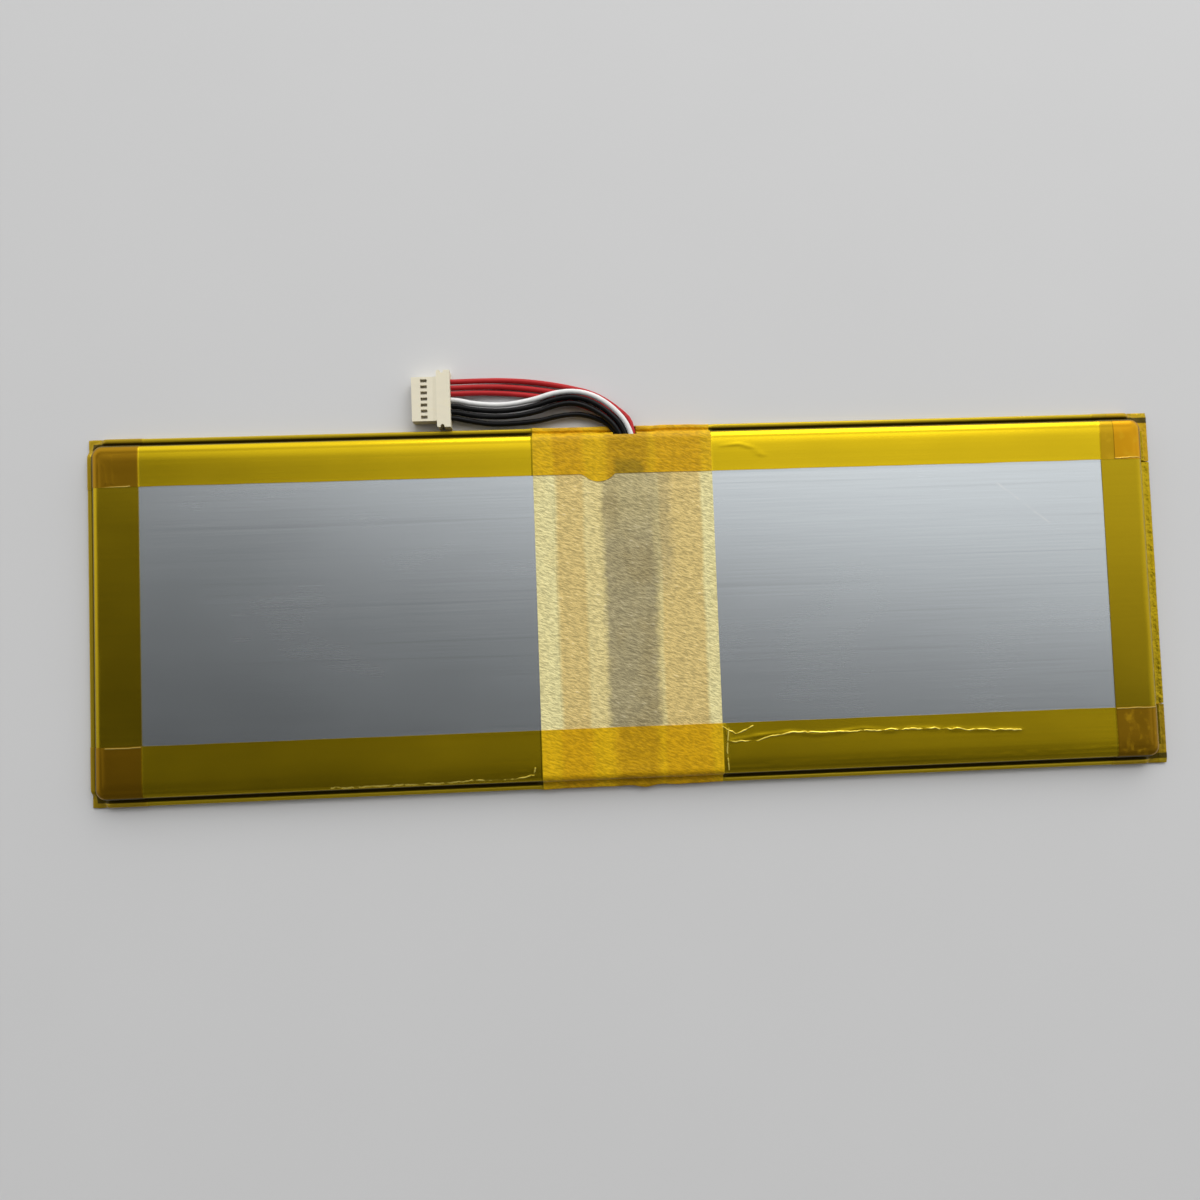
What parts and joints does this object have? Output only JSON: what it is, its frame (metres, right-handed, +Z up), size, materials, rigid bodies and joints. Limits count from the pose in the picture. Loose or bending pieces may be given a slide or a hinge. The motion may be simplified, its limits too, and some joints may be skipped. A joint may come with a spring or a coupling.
{
  "type": "tablet battery",
  "caption": "Flat lithium pouch battery for a tablet: two cells end to end, edges wrapped in amber film, a crepe paper band over the board, and wires to a small connector.",
  "frame": {"origin": "centre of the pack's lowest plane, measured without the wires and the connector", "axes": "+X along the pack's length, +Y towards the side where the wires leave, +Z up out of the face that the picture shows"},
  "size_m": [0.265, 0.1034, 0.0044],
  "materials": {
    "laminate": "satin",
    "amber_film": "gloss",
    "crepe_paper": "matte",
    "inner_film": "gloss",
    "insulating_paper": "matte",
    "nickel": "satin",
    "aluminium_tab": "satin",
    "board": "satin",
    "chip": "matte",
    "capacitor": "matte",
    "solder": "satin",
    "red_sleeve": "satin",
    "white_sleeve": "satin",
    "black_sleeve": "satin",
    "nylon": "satin",
    "tinned_contact": "satin"
  },
  "bodies": {
    "root": {"cell_left": "laminate", "cell_right": "laminate", "film_left": "amber_film", "film_right": "amber_film", "film_back": "amber_film", "film_front": "amber_film", "paper_band": "crepe_paper", "inner_film": "inner_film", "seal_paper_left": "insulating_paper", "seal_paper_right": "insulating_paper", "tab_left_minus": "nickel", "tab_left_plus": "aluminium_tab", "tab_right_minus": "nickel", "tab_right_plus": "aluminium_tab", "board": "board", "switch_chip_1": "chip", "switch_chip_2": "chip", "control_chip": "chip", "sense_resistor": "chip", "chip_resistors": "chip", "chip_capacitors": "capacitor", "thermistor": "chip", "wire_joints": "solder", "wire_red_1": "red_sleeve", "wire_red_2": "red_sleeve", "wire_red_3": "red_sleeve", "wire_white": "white_sleeve", "wire_black_1": "black_sleeve", "wire_black_2": "black_sleeve", "wire_black_3": "black_sleeve", "connector": "nylon", "contacts": "tinned_contact"}
  },
  "joints": []
}
